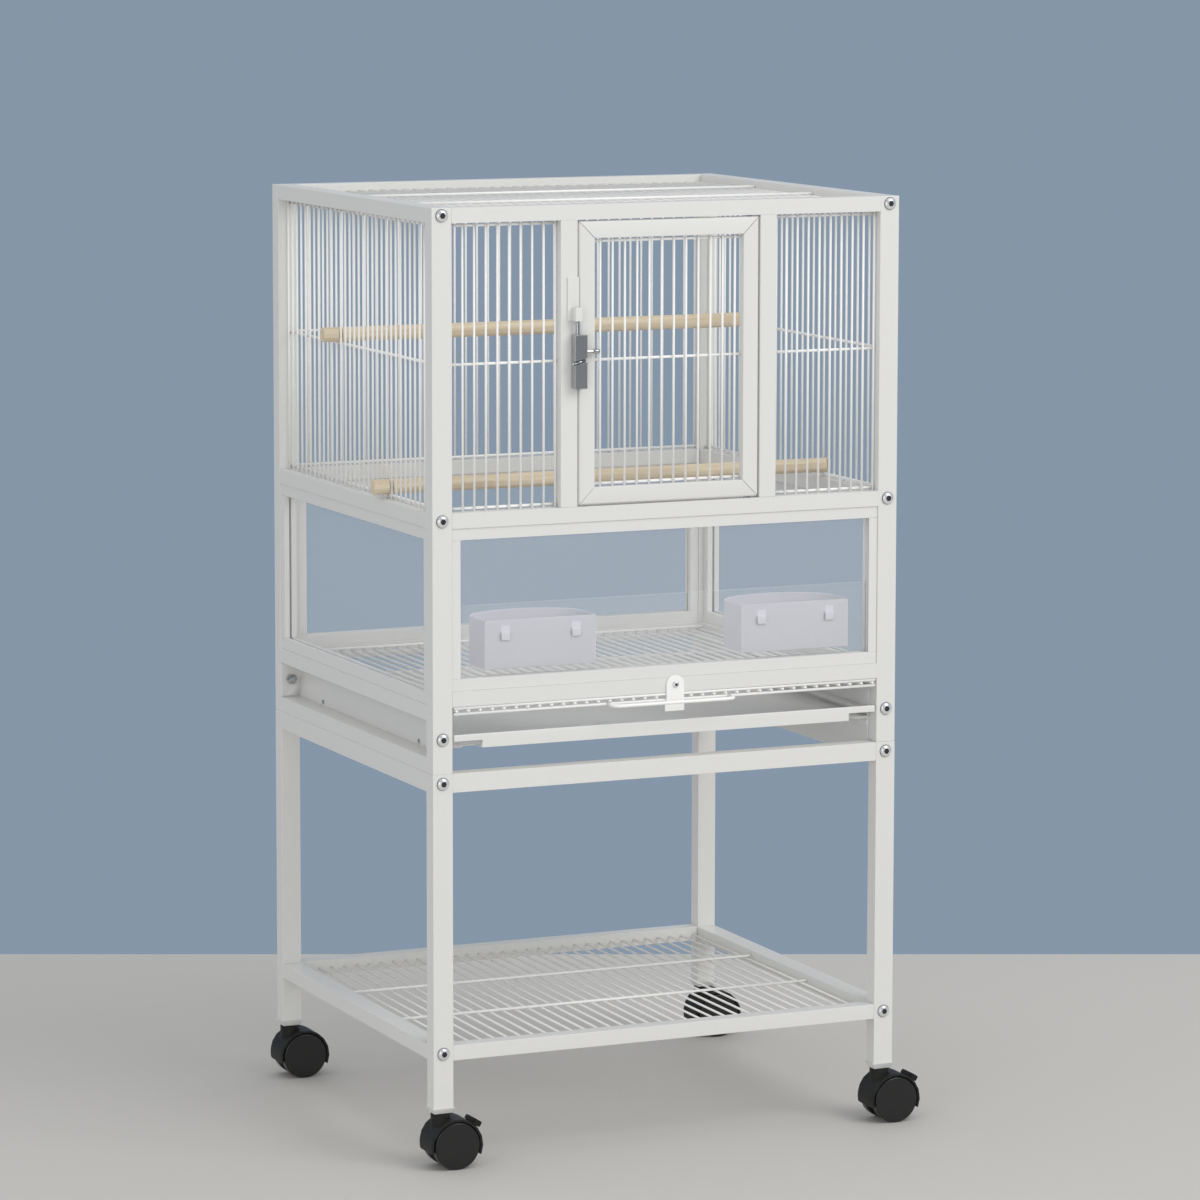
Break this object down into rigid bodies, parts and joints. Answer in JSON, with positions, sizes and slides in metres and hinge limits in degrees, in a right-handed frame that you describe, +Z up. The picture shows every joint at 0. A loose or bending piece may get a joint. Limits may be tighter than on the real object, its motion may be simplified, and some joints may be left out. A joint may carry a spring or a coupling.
{
  "type": "bird cage",
  "caption": "White wire bird cage on an open wheeled stand, with a hinged front door, clear lower panes, hanging feed bowls, wooden perches and a slide-out tray.",
  "frame": {"origin": "on the floor, under the middle of the frame's footprint", "axes": "+Z up, the door faces -Y, +X is to the right when facing the door"},
  "size_m": [0.5771, 0.494, 1],
  "materials": {
    "white_steel": "satin powder coat",
    "white_wire": "satin powder coat",
    "clear_acrylic": "clear acrylic sheet",
    "milky_plastic": "milky, translucent",
    "pale_wood": "bare, sanded",
    "zinc_steel": "bright zinc plate",
    "black_plastic": "moulded, matte",
    "white_plastic": "white moulding"
  },
  "bodies": {
    "cage_frame": {"cage_posts_front": "white_steel", "cage_posts_back": "white_steel", "stand_legs_front": "white_steel", "stand_legs_back": "white_steel", "front_rails": "white_steel", "door_jambs": "white_steel", "back_rails": "white_steel", "side_rails_left": "white_steel", "side_rails_right": "white_steel", "stand_rails": "white_steel", "shelf_rails": "white_steel", "front_grilles": "white_wire", "left_grille": "white_wire", "right_grille": "white_wire", "back_grille": "white_wire", "roof_grille": "white_wire", "shelf_grille": "white_wire", "hinge_pins": "zinc_steel", "latch_keeper": "white_steel", "front_window_channel": "white_plastic", "left_window_channel": "white_plastic", "right_window_channel": "white_plastic", "back_window_channel": "white_plastic", "front_pane": "clear_acrylic", "front_guard_pane": "clear_acrylic", "left_pane": "clear_acrylic", "right_pane": "clear_acrylic", "back_pane": "clear_acrylic", "upper_perch": "pale_wood", "lower_perch": "pale_wood", "side_plate_left": "white_steel", "side_plate_right": "white_steel", "tray_runners": "white_steel", "runner_screws": "zinc_steel", "frame_bolts": "zinc_steel", "rail_end_plugs": "zinc_steel", "cap_nuts": "zinc_steel", "post_spigots": "zinc_steel", "leg_sockets": "white_plastic", "caster_stems": "zinc_steel"},
    "door": {"door_frame": "white_steel", "door_grille": "white_wire", "latch_housing": "zinc_steel"},
    "latch": {"latch_bolt": "zinc_steel"},
    "grate": {"grate": "white_wire", "grate_lock_screw": "zinc_steel"},
    "tray": {"tray": "white_steel"},
    "bowl_left": {"feed_bowl_left": "milky_plastic"},
    "bowl_right": {"feed_bowl_right": "milky_plastic"},
    "hood_front_left": {"caster_hood_front_left": "black_plastic"},
    "wheels_front_left": {"caster_wheels_front_left": "black_plastic"},
    "hood_front_right": {"caster_hood_front_right": "black_plastic"},
    "wheels_front_right": {"caster_wheels_front_right": "black_plastic"},
    "hood_back_left": {"caster_hood_back_left": "black_plastic"},
    "wheels_back_left": {"caster_wheels_back_left": "black_plastic"},
    "hood_back_right": {"caster_hood_back_right": "black_plastic"},
    "wheels_back_right": {"caster_wheels_back_right": "black_plastic"},
    "brake_front_left": {"caster_brake_front_left": "black_plastic"},
    "brake_front_right": {"caster_brake_front_right": "black_plastic"}
  },
  "joints": [
    {"name": "door_hinge", "type": "hinge", "parent": "cage_frame", "child": "door", "pos_m": [0.092, -0.227, 0.835], "axis": [0, 0, 1], "range_deg": [0, 105]},
    {"name": "latch_slide", "type": "slide", "parent": "door", "child": "latch", "axis": [0, 0, 1], "range_m": [0, 0.012]},
    {"name": "grate_slide", "type": "slide", "parent": "cage_frame", "child": "grate", "axis": [0, -1, 0], "range_m": [0, 0.33]},
    {"name": "tray_slide", "type": "slide", "parent": "cage_frame", "child": "tray", "axis": [0, -1, 0], "range_m": [0, 0.33]},
    {"name": "bowl_left_lift", "type": "slide", "parent": "cage_frame", "child": "bowl_left", "axis": [0, 0, 1], "range_m": [0, 0.006]},
    {"name": "bowl_right_lift", "type": "slide", "parent": "cage_frame", "child": "bowl_right", "axis": [0, 0, 1], "range_m": [0, 0.006]},
    {"name": "swivel_front_left", "type": "hinge", "parent": "cage_frame", "child": "hood_front_left", "pos_m": [-0.256, -0.223, 0.05], "axis": [0, 0, 1], "continuous": true},
    {"name": "roll_front_left", "type": "hinge", "parent": "hood_front_left", "child": "wheels_front_left", "pos_m": [-0.244, -0.223, 0.025], "axis": [0, 1, 0], "continuous": true},
    {"name": "swivel_front_right", "type": "hinge", "parent": "cage_frame", "child": "hood_front_right", "pos_m": [0.256, -0.223, 0.05], "axis": [0, 0, 1], "continuous": true},
    {"name": "roll_front_right", "type": "hinge", "parent": "hood_front_right", "child": "wheels_front_right", "pos_m": [0.268, -0.223, 0.025], "axis": [0, 1, 0], "continuous": true},
    {"name": "swivel_back_left", "type": "hinge", "parent": "cage_frame", "child": "hood_back_left", "pos_m": [-0.256, 0.223, 0.05], "axis": [0, 0, 1], "continuous": true},
    {"name": "roll_back_left", "type": "hinge", "parent": "hood_back_left", "child": "wheels_back_left", "pos_m": [-0.244, 0.223, 0.025], "axis": [0, 1, 0], "continuous": true},
    {"name": "swivel_back_right", "type": "hinge", "parent": "cage_frame", "child": "hood_back_right", "pos_m": [0.256, 0.223, 0.05], "axis": [0, 0, 1], "continuous": true},
    {"name": "roll_back_right", "type": "hinge", "parent": "hood_back_right", "child": "wheels_back_right", "pos_m": [0.268, 0.223, 0.025], "axis": [0, 1, 0], "continuous": true},
    {"name": "brake_press_front_left", "type": "hinge", "parent": "hood_front_left", "child": "brake_front_left", "pos_m": [-0.21987, -0.223, 0.04525], "axis": [0, 1, 0], "range_deg": [0, 25]},
    {"name": "brake_press_front_right", "type": "hinge", "parent": "hood_front_right", "child": "brake_front_right", "pos_m": [0.29213, -0.223, 0.04525], "axis": [0, 1, 0], "range_deg": [0, 25]}
  ]
}
